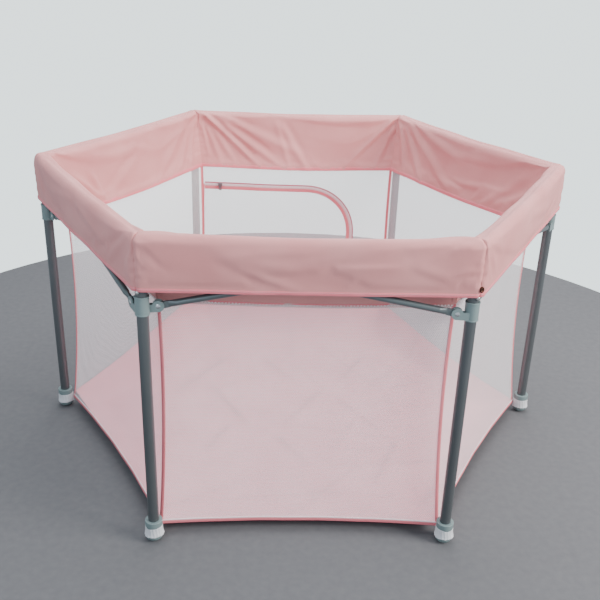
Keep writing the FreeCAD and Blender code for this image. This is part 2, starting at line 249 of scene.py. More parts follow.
def bareMetal(name, colour, roughness):
    f = Finish(name, Metallic=1.0)
    place = f.objectPlace()
    scratch = f.noise(place, 2200.0, 4.0)
    stain = f.noise(place, 160.0, 2.0)
    base = f.mix(stain, srgb(*colour), scaled(colour, 0.7))
    return f.set(Base_Color=base, Roughness=scratch * 0.2 + (roughness - 0.08),
                 Normal=f.bump(scratch, 0.00004, 0.4))


finishes = {
    "cover": wovenCloth("coverPongee", (229, 160, 157), (217, 144, 142), 0.0009, 0.00018, 0.12, 0.58),
    "binding": wovenCloth("coralBinding", (244, 142, 150), (236, 126, 136), 0.0011, 0.00025, 0.1, 0.6,
                          ribs=True),
    "piping": wovenCloth("darkPiping", (206, 104, 124), (194, 92, 112), 0.0009, 0.0002, 0.2, 0.6, ribs=True),
    "tape": wovenCloth("zipTape", (252, 238, 238), (244, 222, 224), 0.0008, 0.00015, 0.15, 0.7, ribs=True),
    "floor": wovenCloth("floorPongee", (240, 166, 174), (230, 148, 158), 0.0009, 0.00015, 0.12, 0.6,
                        foldShaded=True),
    "elastic": wovenCloth("elasticWebbing", (236, 236, 238), (222, 223, 226), 0.0012, 0.0004, 0.1, 0.8,
                          ribs=True),
    "net": netCloth("whiteNet", (253, 254, 255), 0.0036, 0.68, 0.10),
    "thread": mouldedPlastic("sewingThread", (246, 214, 216), 0.6),
    "whiteThread": mouldedPlastic("whiteThread", (250, 248, 248), 0.6),
    "teeth": mouldedPlastic("zipTeeth", (244, 214, 218), 0.45),
    "legs": paintedSteel("slatePaint", (92, 96, 98), 0.36, 0.55, 0.3),
    "arms": paintedSteel("slatePaintArms", (98, 106, 108), 0.38, 0.55, 0.3),
    "plastic": mouldedPlastic("greyNylon", (124, 141, 141), 0.4),
    "rivets": bareMetal("zincRivet", (226, 230, 232), 0.18),
    "buttons": bareMetal("springButton", (206, 208, 206), 0.24),
    "zipMetal": bareMetal("zipPullMetal", (150, 140, 142), 0.35),
    "eyelet": bareMetal("bronzeEyelet", (92, 62, 52), 0.36),
}
nodeFinishes = {"leg_tube": "legs", "foot": "plastic", "top_hub": "plastic", "slider": "plastic",
                "lock_button": "buttons", "outer_arm_rivets": "rivets", "inner_arm_rivets": "rivets",
                "outer_arm": "arms", "inner_arm": "arms", "zip_slider": "zipMetal"}
for nodeName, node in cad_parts.items():
    for prefix, finish in nodeFinishes.items():
        if nodeName.startswith(prefix) and nodeName != "foot_straps":
            node.data.materials.clear()
            node.data.materials.append(finishes[finish])
            break
print("finishes made and put on the frame's own pieces")


# ---- making pieces ----

def makePiece(name, points, faces, finish, uv=None):
    mesh = bpy.data.meshes.new(name)
    mesh.from_pydata([tuple(p) for p in np.asarray(points, float).reshape(-1, 3)], [], faces)
    if uv is not None:
        layer = mesh.uv_layers.new(name="UVMap")
        index = np.empty(len(mesh.loops), int)
        mesh.loops.foreach_get("vertex_index", index)
        layer.data.foreach_set("uv", np.asarray(uv, np.float32).reshape(-1, 2)[index].ravel())
    mesh.materials.append(finishes[finish])
    mesh.validate()
    mesh.shade_smooth()
    piece = bpy.data.objects.new(name, mesh)
    scene.collection.objects.link(piece)
    return piece


def gridFaces(rows, columns, wrapColumns=False):
    faces = []
    for row in range(0, (rows - 1) * columns, columns):
        for c in range(columns if wrapColumns else columns - 1):
            following = (c + 1) % columns
            faces.append((row + c, row + following, row + columns + following, row + columns + c))
    return faces


def pathLength(points):
    return np.concatenate([[0], np.cumsum(np.linalg.norm(np.diff(points, axis=0), axis=1))])


def unit(vectors):
    return vectors / np.maximum(np.linalg.norm(vectors, axis=-1, keepdims=True), 1e-9)


def sweepBand(name, path, outs, ups, section, finish):
    # closed tube along a path: section is a loop of (out, up) offsets
    section = np.asarray(section)
    count = len(section)
    points = (path[:, None] + outs[:, None] * section[None, :, :1] + ups[:, None] * section[None, :, 1:])
    faces = gridFaces(len(path), count, wrapColumns=True)
    last = (len(path) - 1) * count
    faces += [tuple(range(count))[::-1], tuple(last + k for k in range(count))]
    around = pathLength(np.vstack([section, section[:1]]))[:-1]
    uv = np.stack(np.broadcast_arrays(pathLength(path)[:, None], around[None, :]), axis=-1)
    piece = makePiece(name, points, faces, finish, uv)
    turnOutwards(piece)
    sharpen(piece, 50)
    return piece


def turnOutwards(piece):
    work = bmesh.new()
    work.from_mesh(piece.data)
    bmesh.ops.recalc_face_normals(work, faces=work.faces)
    work.to_mesh(piece.data)
    work.free()


def sharpen(piece, degrees):
    piece.data.set_sharp_from_angle(angle=math.radians(degrees))


def roundedSection(outLow, outHigh, upLow, upHigh, radius, steps=3):
    loop = []
    for cx, cy, start in ((outHigh - radius, upHigh - radius, 0), (outLow + radius, upHigh - radius, 90),
                          (outLow + radius, upLow + radius, 180), (outHigh - radius, upLow + radius, 270)):
        for k in range(steps + 1):
            angle = math.radians(start + 90 * k / steps)
            loop.append((cx + radius * math.cos(angle), cy + radius * math.sin(angle)))
    return loop


def applyModifier(piece, kind, **settings):
    modifier = piece.modifiers.new(kind.title(), kind)
    for key, value in settings.items():
        setattr(modifier, key, value)
    graph = bpy.context.evaluated_depsgraph_get()
    mesh = bpy.data.meshes.new_from_object(piece.evaluated_get(graph))
    piece.modifiers.remove(modifier)
    piece.data = mesh


def withSide(piece, side, node=None, part=""):
    # a piece of one side rides on the side's first leg, and the cloth that wraps a leg, at the side's start
    # or end, stays with that leg
    if part:
        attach(piece, legBodies[(side + (part == "End")) % 6])
    else:
        home, anchor = (0, corners[0]) if side == backSide else (side, corners[side])
        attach(piece, legBodies[home])
        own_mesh(piece)
    if node:
        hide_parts(node)
    return piece


# ---- repeats: stitches and zip teeth, one tree with named sizes ----

def makeRepeatTree():
    tree = bpy.data.node_groups.new("repeatAlongPath", "GeometryNodeTree")
    face = tree.interface
    sockets = {"Path": face.new_socket("Path", in_out="INPUT", socket_type="NodeSocketGeometry")}
    for label, kind in (("Spacing", "NodeSocketFloat"), ("Size", "NodeSocketVector"),
                        ("Boxed", "NodeSocketBool"), ("Jitter", "NodeSocketFloat"),
                        ("Material", "NodeSocketMaterial")):
        sockets[label] = face.new_socket(label, in_out="INPUT", socket_type=kind)
    face.new_socket("Repeats", in_out="OUTPUT", socket_type="NodeSocketGeometry")

    def add(kind, settings=None, links=None):
        node = tree.nodes.new(kind)
        for key, value in (settings or {}).items():
            setattr(node, key, value)
        for key, value in (links or {}).items():
            if isinstance(value, bpy.types.NodeSocket):
                tree.links.new(value, node.inputs[key])
            else:
                node.inputs[key].default_value = value
        return node

    start = add("NodeGroupInput")
    line = add("GeometryNodeMeshToCurve", None, {"Mesh": start.outputs["Path"]})
    points = add("GeometryNodeResampleCurve", {"mode": "LENGTH"},
                 {"Curve": line.outputs[0], "Length": start.outputs["Spacing"]})
    bead = add("GeometryNodeMeshUVSphere", None, {"Segments": 6, "Rings": 4, "Radius": 0.5})
    block = add("GeometryNodeMeshCube", None, {"Size": (1.0, 1.0, 1.0)})
    shape = add("GeometryNodeSwitch", {"input_type": "GEOMETRY"},
                {"Switch": start.outputs["Boxed"], "False": bead.outputs[0], "True": block.outputs[0]})
    tangent = add("GeometryNodeInputTangent")
    turn = add("FunctionNodeAlignRotationToVector", {"axis": "X"}, {"Vector": tangent.outputs[0]})
    spread = add("FunctionNodeRandomValue", {"data_type": "FLOAT"}, {2: -1.0, 3: 1.0, "Seed": 5})
    amount = add("ShaderNodeMath", {"operation": "MULTIPLY_ADD"},
                 {0: spread.outputs[1], 1: start.outputs["Jitter"], 2: 1.0})
    size = add("ShaderNodeVectorMath", {"operation": "SCALE"},
               {0: start.outputs["Size"], "Scale": amount.outputs[0]})
    copies = add("GeometryNodeInstanceOnPoints", None,
                 {"Points": points.outputs[0], "Instance": shape.outputs[0],
                  "Rotation": turn.outputs[0], "Scale": size.outputs[0]})
    real = add("GeometryNodeRealizeInstances", None, {"Geometry": copies.outputs[0]})
    done = add("GeometryNodeSetMaterial", None,
               {"Geometry": real.outputs[0], "Material": start.outputs["Material"]})
    end = add("NodeGroupOutput")
    tree.links.new(done.outputs[0], end.inputs[0])
    return tree, sockets


repeatTree, repeatSockets = makeRepeatTree()


def repeatAlong(name, path, sizes, finish):
    line = bpy.data.meshes.new(name + "Line")
    line.from_pydata([tuple(p) for p in path], [(k, k + 1) for k in range(len(path) - 1)], [])
    holder = bpy.data.objects.new(name, line)
    scene.collection.objects.link(holder)
    modifier = holder.modifiers.new("Repeat", "NODES")
    modifier.node_group = repeatTree
    for label, value in (("Spacing", sizes["spacing"]), ("Size", sizes["size"]), ("Boxed", sizes["boxed"]),
                         ("Jitter", sizes["jitter"]), ("Material", finishes[finish])):
        modifier[repeatSockets[label].identifier] = value
    graph = bpy.context.evaluated_depsgraph_get()
    mesh = bpy.data.meshes.new_from_object(holder.evaluated_get(graph))
    holder.modifiers.remove(modifier)
    holder.data = mesh
    if not len(mesh.materials):
        mesh.materials.append(finishes[finish])
    return holder


# ---- the padded cover ----

coverSizes = {
    "skin": 0.0025,            # cloth and wadding
    "ridgeRound": 0.014,       # rounding of the two top edges
    "ridgeDrop": 0.010,        # where the ridge's rounding starts, below the top
    "hemInset": 0.042,
    "endLength": 0.044,        # stretch beside a corner with closer columns
    "seamCurl": 0.0032,        # how far the cloth turns in at a corner seam
    "seamReach": 0.0045,
    "sag": 0.004,
    "hemSag": 0.006,           # the inner hem hangs lower half way along a side
    "bulge": 0.0035,
    "growth": 0.022,           # spare cloth, which the simulation turns into wrinkles
    "cap": 0.005,
    "outerCap": 0.0022,
    "sinkMost": 0.0008,
    "columns": 96,
    "wrap": 5,                 # columns at each end that wrap a leg
    "frames": 16,
}


def hemDrop(along, height):
    middle = np.sin(math.pi * np.clip(np.asarray(along) / sideLength, 0, 1))
    return coverSizes["hemSag"] * middle ** 2 * smooth(height, innerHemHeight - 0.16, innerHemHeight) \
        * (1 - smooth(height, innerHemHeight + 0.02, ridgeHeight - 0.02))


def coverProfile():
    # (inset, height) from the outer hem over the ridge to the inner hem
    half, top = coverHalf, ridgeHeight
    r = coverSizes["ridgeRound"]
    line = []
    low = outerHemHeight
    for k in range(15):
        line.append((-half, low + (top - r - low) * k / 14))
    for k in range(1, 7):
        angle = math.radians(180 - 90 * k / 6)
        line.append((-half + r + r * math.cos(angle), top - r + r * math.sin(angle)))
    line.append((0.0, top + 0.0006))
    for k in range(7):
        angle = math.radians(90 - 82 * k / 6)
        line.append((half - r + r * math.cos(angle), top - r + r * math.sin(angle)))
    startInset, startHeight = line[-1]
    for k in range(1, 25):
        share = k / 24
        line.append((startInset + (coverSizes["hemInset"] - startInset) * share,
                     startHeight + (innerHemHeight - startHeight) * share))
    return np.array(line)


def sidePath(inset):
    # plan points of one row: round the leg outside, mitred inside
    end = coverSizes["endLength"]
    share = np.concatenate([[0, 0.03, 0.07, 0.12, 0.18, 0.26], np.linspace(0.35, 1, 8)])
    if inset < 0:
        arc = -inset * math.pi / 6
        s = share * (arc + end)
        angle = np.radians(30) * (1 - np.minimum(s / arc, 1))
        along = np.where(s < arc, inset * np.sin(angle), s - arc)
        away = np.where(s < arc, inset * np.cos(angle), inset)
    else:
        start = inset * mitre
        along = start + share * (end - start)
        away = np.full_like(share, inset)
    middle = np.linspace(end, sideLength - end, coverSizes["columns"] - 2 * len(share) + 2)[1:-1]
    along = np.concatenate([along, middle, sideLength - along[::-1]])
    away = np.concatenate([away, np.full_like(middle, inset), away[::-1]])
    return along, away


def fan(a, v, spec):
    # folds that spread from one point: spec holds the point, and each fold's angle, depth and reach
    a0, v0 = spec["from"]
    radius = np.hypot(a - a0, v - v0) + 1e-6
    angle = np.degrees(np.arctan2(v - v0, a - a0))
    total = np.zeros_like(radius)
    for direction, depth, width, start, stop in spec["folds"]:
        offset = np.radians(angle - direction) * radius
        fade = smooth(radius, start, start + 0.03) * (1 - smooth(radius, stop * 0.6, stop))
        crest = np.exp(-(offset / width) ** 2)
        trough = np.exp(-((offset - 1.7 * width) / width) ** 2)
        total += depth * fade * (crest - 0.55 * trough)
    return total


# folds of each side: a is metres along from the side's first corner, v is metres down from the ridge,
# and each fold is its angle in degrees, depth, width, and where it starts and stops along its line
innerFans = {
    "back": [
        {"from": (sideLength - 0.016, 0.002), "folds": [
            (101, 0.0022, 0.006, 0.03, 0.17), (113, 0.0034, 0.006, 0.04, 0.19),
            (125, 0.0040, 0.006, 0.06, 0.21), (138, 0.0100, 0.0060, 0.01, 0.27),
            (147, 0.0066, 0.009, 0.07, 0.33), (158, 0.0042, 0.012, 0.07, 0.38)]},
        {"from": (0.37, 0.0), "folds": [(108, 0.0030, 0.007, 0.02, 0.24), (122, 0.0040, 0.009, 0.03, 0.26)]},
        {"from": (0.006, 0.0), "folds": [
            (46, 0.0072, 0.0055, 0.015, 0.27), (68, 0.0036, 0.008, 0.03, 0.20)]}],
    "left_rear": [
        {"from": (sideLength - 0.16, 0.16), "folds": [
            (-68, 0.0065, 0.007, 0.00, 0.10), (-42, 0.0085, 0.008, 0.00, 0.15),
            (-20, 0.0065, 0.010, 0.02, 0.20), (-150, 0.0030, 0.012, 0.02, 0.22)]},
        {"from": (0.02, 0.0), "folds": [
            (72, 0.0040, 0.009, 0.03, 0.22), (56, 0.0034, 0.010, 0.04, 0.24),
            (38, 0.0030, 0.012, 0.05, 0.28)]}],
    "right_rear": [
        {"from": (sideLength - 0.015, 0.0), "folds": [
            (112, 0.0060, 0.009, 0.02, 0.22), (132, 0.0060, 0.010, 0.03, 0.28),
            (150, 0.0050, 0.012, 0.04, 0.34), (166, 0.0035, 0.014, 0.06, 0.36)]},
        {"from": (0.03, 0.02), "folds": [(40, 0.0024, 0.014, 0.04, 0.24)]}],
    "left_front": [
        {"from": (0.02, 0.0), "folds": [(52, 0.004, 0.010, 0.02, 0.2), (36, 0.003, 0.012, 0.03, 0.25)]}],
    "front": [
        {"from": (0.02, 0.0), "folds": [(60, 0.004, 0.010, 0.02, 0.2), (40, 0.003, 0.011, 0.03, 0.25)]},
        {"from": (sideLength - 0.02, 0.0), "folds": [(128, 0.004, 0.010, 0.02, 0.22)]}],
    "right_front": [
        {"from": (sideLength - 0.02, 0.0), "folds": [
            (130, 0.004, 0.010, 0.02, 0.22), (148, 0.003, 0.012, 0.03, 0.26)]}],
}
outerFans = {
    "front": [
        {"from": (0.13, 0.045), "folds": [
            (8, 0.0022, 0.010, 0.00, 0.17), (24, 0.0018, 0.009, 0.02, 0.2), (-6, 0.0016, 0.009, 0.02, 0.22)]},
        {"from": (0.47, 0.055), "folds": [(176, 0.0016, 0.010, 0.0, 0.15), (20, 0.0018, 0.008, 0.0, 0.1)]},
        {"from": (sideLength + 0.004, 0.012), "folds": [
            (160, 0.0020, 0.007, 0.0, 0.07), (176, 0.0018, 0.006, 0.0, 0.06)]},
        {"from": (sideLength + 0.004, 0.062), "folds": [
            (168, 0.0020, 0.006, 0.0, 0.06), (192, 0.0018, 0.006, 0.0, 0.07)]}],
    "left_front": [
        {"from": (0.30, 0.03), "folds": [(12, 0.0020, 0.012, 0.0, 0.22), (170, 0.0018, 0.012, 0.0, 0.2)]},
        {"from": (sideLength, 0.02), "folds": [(150, 0.0018, 0.008, 0.01, 0.12)]}],
    "right_front": [
        {"from": (0.0, 0.02), "folds": [(20, 0.0018, 0.007, 0.0, 0.1), (48, 0.0018, 0.007, 0.01, 0.1)]},
        {"from": (0.28, 0.04), "folds": [(10, 0.0020, 0.012, 0.0, 0.2)]}],
    "left_rear": [{"from": (0.2, 0.04), "folds": [(14, 0.0020, 0.012, 0.0, 0.22)]}],
    "right_rear": [{"from": (0.25, 0.05), "folds": [(172, 0.0020, 0.012, 0.0, 0.2)]}],
    "back": [
        {"from": (0.3, 0.04), "folds": [(8, 0.0022, 0.012, 0.0, 0.2), (188, 0.0016, 0.01, 0.0, 0.18)]}],
}


def coverGrid(side):
    profile = coverProfile()
    lengths = pathLength(profile)
    ridgeRow = int(np.argmax(profile[:, 1]))
    rows = [sidePath(inset) for inset, _ in profile]
    along = np.array([r[0] for r in rows])
    inset = np.array([r[1] for r in rows])
    height = np.repeat(profile[:, 1:], along.shape[1], axis=1)
    points = onSide(side, along, inset, height)
    normals = np.cross(np.gradient(points, axis=1), np.gradient(points, axis=0))
    normals = unit(normals)
    down = np.abs(lengths - lengths[ridgeRow])[:, None] * np.ones_like(along)
    outer = (np.arange(len(profile)) < ridgeRow)[:, None] * np.ones_like(along)
    # gentle overall form
    share = np.clip(along / sideLength, 0, 1)
    middle = np.sin(math.pi * share)
    points[..., 2] -= coverSizes["sag"] * middle ** 2 * smooth(height, innerHemHeight, ridgeHeight)
    points[..., 2] -= (1 - outer) * hemDrop(along, height)
    drop = ridgeHeight - outerHemHeight
    puff = outer * np.sin(np.clip(down / drop, 0, 1) * math.pi) * coverSizes["bulge"] * (0.35 + 0.65 * middle)
    push = puff
    for spec in innerFans[sideNames[side]]:
        push = push + (1 - outer) * fan(along, down, spec) * smooth(down, 0.008, 0.03)
    for spec in outerFans[sideNames[side]]:
        push = push + outer * fan(along, down, spec) * smooth(down, 0.008, 0.02)
    # soft long waves and small puckers beside the corner seams
    phase = 1.3 * side
    push = push + 0.0010 * np.sin(along * 31 + phase + down * 18) * np.sin(down * 26 + phase) * middle
    toEnd = np.minimum(pathDistance(points), pathDistance(points[:, ::-1])[:, ::-1])
    pucker = np.sin(down * 420 + 4 * np.sin(down * 60 + phase))
    push = push + (0.0006 + 0.0006 * outer) * pucker * np.exp(-toEnd / 0.012)
    curl = np.exp(-(toEnd / coverSizes["seamReach"]) ** 2)
    push = push - coverSizes["seamCurl"] * (0.45 + 0.55 * outer) * curl
    nearHem = (1 - outer) * smooth(down, 0.115, 0.135)
    push = np.where(nearHem > 0, np.maximum(push, -0.0030 * (1 - nearHem) - 0.0002), push)
    points = points + normals * push[..., None]
    for column, corner in ((0, corners[side]), (-1, corners[(side + 1) % 6])):
        points[:, column] = ontoMitre(points[:, column], corner)
    uv = np.stack([along, np.repeat(lengths[:, None], along.shape[1], axis=1)], axis=-1)
    return points, uv, outer


def ontoMitre(points, corner):
    # moves points sideways onto the upright plane through a leg and the middle of the playpen
    across = np.array([-corner.y, corner.x, 0.0]) / corner.length
    return points - (points @ across)[:, None] * across


def pathDistance(points):
    steps = np.linalg.norm(np.diff(points, axis=1), axis=2)
    return np.concatenate([np.zeros((len(points), 1)), np.cumsum(steps, axis=1)], axis=1)


def settleCloth(piece, held, growth, frames):
    # spare cloth buckles between what holds it
    group = piece.vertex_groups.new(name="held")
    for index, weight in enumerate(held.ravel()):
        if weight > 0.01:
            group.add([index], float(weight), "REPLACE")
    cloth = piece.modifiers.new("Cloth", "CLOTH")
    settings = cloth.settings
    settings.quality = 6
    settings.mass = 0.15
    settings.tension_stiffness = settings.compression_stiffness = 18
    settings.shear_stiffness = 8
    settings.bending_stiffness = 0.35
    settings.vertex_group_mass = "held"
    settings.pin_stiffness = 2
    settings.shrink_min = -growth
    settings.effector_weights.gravity = 0.15
    cloth.collision_settings.use_collision = False
    cloth.point_cache.frame_start, cloth.point_cache.frame_end = 1, frames
    scene.frame_start, scene.frame_end = 1, frames
    for number in range(1, frames + 1):
        scene.frame_set(number)
    graph = bpy.context.evaluated_depsgraph_get()
    shaped = piece.evaluated_get(graph).to_mesh()
    after = np.empty(len(shaped.vertices) * 3)
    shaped.vertices.foreach_get("co", after)
    piece.evaluated_get(graph).to_mesh_clear()
    piece.modifiers.remove(cloth)
    scene.frame_set(1)
    return after.reshape(-1, 3)


def coverParts():
    columns, wrap = coverSizes["columns"], coverSizes["wrap"]
    return {"": slice(wrap, columns - wrap), "Start": slice(0, wrap + 1),
            "End": slice(columns - wrap - 1, columns)}


def settlePanel(side, points, uv, outer):
    # simulated wrinkles, capped, that never lift the outer face off its form by more than a little
    rows, columns = points.shape[:2]
    piece = makePiece("settling_" + sideNames[side], points, gridFaces(rows, columns), "cover", uv)
    held = np.full((rows, columns), 0.06)
    held[:, [1, -2]] = 0.8
    held[:, [0, -1]] = 1
    held[:3] = held[-3:] = 1
    after = settleCloth(piece, held, coverSizes["growth"], coverSizes["frames"])
    bpy.data.objects.remove(piece)
    start = points.reshape(-1, 3)
    move = after - start
    size = np.linalg.norm(move, axis=1, keepdims=True)
    cap = np.where(outer.reshape(-1, 1) > 0.5, coverSizes["outerCap"], coverSizes["cap"])
    move = move * np.where(size > 1e-9, cap * np.tanh(size / cap) / np.maximum(size, 1e-9), 1)
    outwards = np.array([*(-inwards[side]), 0.0])
    fix = np.where(outer.reshape(-1) > 0.5, np.maximum(-coverSizes["sinkMost"] - move @ outwards, 0), 0)
    move = move + fix[:, None] * outwards
    print("cover", sideNames[side], "settled, most moved", round(float(size.max()) * 1000, 1), "mm")
    return (start + move).reshape(rows, columns, 3)


def makeCoverPanel(side):
    points, uv, outer = coverGrid(side)
    points = settlePanel(side, points, uv, outer)
    for part, chosen in coverParts().items():
        cut = points[:, chosen]
        piece = makePiece(f"coverPanel{part}_{sideNames[side]}", cut, gridFaces(*cut.shape[:2]), "cover",
                          uv[:, chosen])
        applyModifier(piece, "SOLIDIFY", thickness=coverSizes["skin"], offset=-1.0, use_even_offset=False,
                      edge_crease_inner=1.0, edge_crease_outer=1.0)
        applyModifier(piece, "SUBSURF", levels=1, render_levels=1, uv_smooth="NONE")
        piece.data.shade_smooth()
        sharpen(piece, 60)
        withSide(piece, side, "top_cover", part)
    return points


bindingSizes = {"outerHeight": 0.0062, "innerHeight": 0.0092, "below": 0.0012, "proud": 0.0008,
                "outerDepth": 0.0042, "innerDepth": 0.0016}
stitchSizes = {"spacing": 0.0034, "size": (0.0023, 0.0006, 0.0006), "boxed": False, "jitter": 0.1}
seamStitchSizes = {"spacing": 0.0062, "size": (0.0040, 0.0026, 0.0022), "boxed": False, "jitter": 0.12}


def bindHem(side, points, which):
    row = points[0] if which == "outer" else points[-1]
    nextRow = points[3] if which == "outer" else points[-4]
    ups = unit(nextRow - row)
    tangents = unit(np.gradient(row, axis=0))
    outs = unit(np.cross(tangents, ups)) * (1 if which == "outer" else -1)
    height = bindingSizes[which + "Height"]
    section = roundedSection(-bindingSizes[which + "Depth"], bindingSizes["proud"], -bindingSizes["below"],
                             height, 0.0009, 2)
    line = row + ups * (height - 0.0016) + outs * (bindingSizes["proud"] + 0.0001)
    for part, chosen in coverParts().items():
        band = sweepBand(f"{which}HemBinding{part}_{sideNames[side]}", row[chosen], outs[chosen], ups[chosen],
                         section, "binding")
        withSide(band, side, None, part)
        stitches = repeatAlong(f"{which}HemStitches{part}_{sideNames[side]}", line[chosen], stitchSizes,
                               "thread")
        withSide(stitches, side, None, part)


for side in range(6):
    grid = makeCoverPanel(side)
    bindHem(side, grid, "outer")
    bindHem(side, grid, "inner")
print("cover: six padded panels with bound and stitched hems")


# ---- the net walls ----

wallSizes = {
    "topInset": 0.0388, "topBow": 0.0002,
    "middleInset": 0.039, "middleBow": 0.008,
    "bottomInset": 0.0185, "bottomBow": 0.014,
    "upOverHem": 0.009,        # the net laps over the inner skirt
    "columns": 72, "rows": 60,
    "ripple": 0.0011,
}
netTop = innerHemHeight + wallSizes["upOverHem"]
netBottom = wallLow.z


def wallInset(side, along, height):
    # inset of the net, bowed inwards along a side, through three heights
    middle = (innerHemHeight + netBottom) / 2
    half = innerHemHeight - middle
    t = (np.asarray(height) - middle) / half
    weights = (t * (t + 1) / 2, 1 - t * t, t * (t - 1) / 2)
    total = 0
    for weight, level in zip(weights, ("top", "middle", "bottom")):
        inset, bow = wallSizes[level + "Inset"], wallSizes[level + "Bow"]
        share = (along - inset * mitre) / (sideLength - 2 * inset * mitre)
        total = total + weight * (inset + bow * 4 * share * (1 - share))
    phase = 2.1 * side
    tight = np.sin(math.pi * np.clip(np.asarray(along) / sideLength, 0, 1))
    ripple = np.sin(along * 46 + phase + 2 * np.sin(height * 9)) * (0.4 + 0.6 * smooth(height, 0.25, 0.44))
    ripple = ripple * (1 - smooth(height, 0.44, 0.50))
    return total + wallSizes["ripple"] * ripple * tight


def wallPoint(side, along, height, proud=0.0):
    return onSide(side, along, wallInset(side, along, height) + proud, height - hemDrop(along, height))


def cornerAlong(height):
    # where the net's corner seam stands, measured along the side
    middle = (innerHemHeight + netBottom) / 2
    t = (np.asarray(height) - middle) / (innerHemHeight - middle)
    inset = (wallSizes["topInset"] * t * (t + 1) / 2 + wallSizes["middleInset"] * (1 - t * t)
             + wallSizes["bottomInset"] * t * (t - 1) / 2)
    return inset * mitre


def insideOutline(points, outline):
    x, y = points[:, 0], points[:, 1]
    inside = np.zeros(len(points), bool)
    for (x1, y1), (x2, y2) in zip(outline, np.roll(outline, -1, axis=0)):
        crosses = (y1 > y) != (y2 > y)
        inside ^= crosses & (x < (x2 - x1) * (y - y1) / (y2 - y1 + 1e-12) + x1)
    return inside


def nearOutline(points, outline, reach):
    near = np.zeros(len(points), bool)
    for start, stop in zip(outline, np.roll(outline, -1, axis=0)):
        step = stop - start
        share = np.clip(((points - start) @ step) / max(step @ step, 1e-12), 0, 1)
        near |= np.linalg.norm(points - start - share[:, None] * step, axis=1) < reach
    return near


def fillOutline(outline, holes, spacing):
    # triangles inside an outline, with holes, on a lattice of points
    low, high = outline.min(0), outline.max(0)
    xs = np.arange(low[0], high[0], spacing)
    ys = np.arange(low[1], high[1], spacing * 0.866)
    lattice = np.array([(x + (row % 2) * spacing / 2, y) for row, y in enumerate(ys) for x in xs])
    keep = insideOutline(lattice, outline) & ~nearOutline(lattice, outline, spacing * 0.45)
    for hole in holes:
        keep &= ~insideOutline(lattice, hole) & ~nearOutline(lattice, hole, spacing * 0.45)
    rings = [outline, *holes]
    points = np.vstack([*rings, lattice[keep]])
    edges, offset = [], 0
    for ring in rings:
        edges += [(offset + k, offset + (k + 1) % len(ring)) for k in range(len(ring))]
        offset += len(ring)
    made = delaunay_2d_cdt([Vector(p) for p in points], edges, [], 0, 1e-6)
    places = np.array([tuple(p) for p in made[0]])
    faces = np.array([tuple(f) for f in made[2]])
    centres = places[faces].mean(axis=1)
    good = insideOutline(centres, outline)
    for hole in holes:
        good &= ~insideOutline(centres, hole)
    return places, [tuple(int(k) for k in f) for f in faces[good]]


def evenly(points, spacing, closed=False):
    # the same line with even steps
    line = np.vstack([points, points[:1]]) if closed else np.asarray(points)
    lengths = pathLength(line)
    count = max(2, int(round(lengths[-1] / spacing)))
    marks = np.linspace(0, lengths[-1], count + 1)
    result = np.stack([np.interp(marks, lengths, line[:, k]) for k in range(line.shape[1])], axis=1)
    return result[:-1] if closed else result


# ---- the door in the back wall ----

doorLow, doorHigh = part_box("door_flap")
doorSizes = {
    "lean": 0.015,             # the hinge seam runs out towards the leg, top to bottom
    "radius": 0.140,
    "gap": 0.0006,             # half the gap between door and wall, filled by the zip
    "tape": 0.0042,            # each half of the zip's tape
    "band": 0.0095,
    "piping": 0.0032,
    "thickness": 0.0011,
}
corner5 = corners[backSide]
doorFree = corner5.x - doorHigh.x
doorHingeLow = corner5.x - doorLow.x
doorHingeTop = doorHingeLow - doorSizes["lean"]


def doorOutline(grow):
    # along and height, from the top of the hinge over the arch to the foot of the hinge
    radius = doorSizes["radius"] + grow
    free, top, low = doorFree - grow, doorHigh.z + grow, doorLow.z - grow
    centreAlong, centreHeight = free + radius, top - radius
    line = [(doorHingeTop, top)]
    for k in range(25):
        angle = math.radians(90 + 90 * k / 24)
        line.append((centreAlong + radius * math.cos(angle), centreHeight + radius * math.sin(angle)))
    line += [(free, low), (doorHingeLow, low)]
    return np.array(line)


def netPiece(name, side, places, faces):
    return makePiece(name, wallPoint(side, places[:, 0], places[:, 1]), faces, "net", places)


def makeNetWall(side):
    name = "netWall_" + sideNames[side]
    heights = np.linspace(netBottom, netTop, wallSizes["rows"])
    if side == backSide:
        left = np.stack([cornerAlong(heights), heights], axis=1)
        right = np.stack([sideLength - cornerAlong(heights), heights], axis=1)
        foot = np.stack([np.linspace(left[0, 0], right[0, 0], 60), np.full(60, netBottom)], axis=1)
        head = np.stack([np.linspace(left[-1, 0], right[-1, 0], 60), np.full(60, netTop)], axis=1)
        outline = np.vstack([foot[:-1], right[:-1], head[::-1][:-1], left[::-1][:-1]])
        hole = evenly(doorOutline(doorSizes["gap"] * 2), 0.009, True)
        places, faces = fillOutline(outline, [hole], 0.010)
        piece = netPiece(name, side, places, faces)
        span = (right[0, 0] - left[0, 0] + right[-1, 0] - left[-1, 0]) / 2
        holeArea = polygonArea(hole)
        withSide(piece, side, "mesh_walls")
        return
    share = np.linspace(0, 1, wallSizes["columns"])
    first = cornerAlong(heights)[:, None]
    along = first + share * (sideLength - 2 * first)
    places = np.stack([along, np.repeat(heights[:, None], len(share), axis=1)], axis=-1).reshape(-1, 2)
    piece = netPiece(name, side, places, gridFaces(len(heights), len(share)))
    withSide(piece, side, "mesh_walls")
    span = float(along[:, -1].mean() - along[:, 0].mean())


def polygonArea(outline):
    x, y = outline[:, 0], outline[:, 1]
    return abs(float(np.sum(x * np.roll(y, -1) - y * np.roll(x, -1)))) / 2


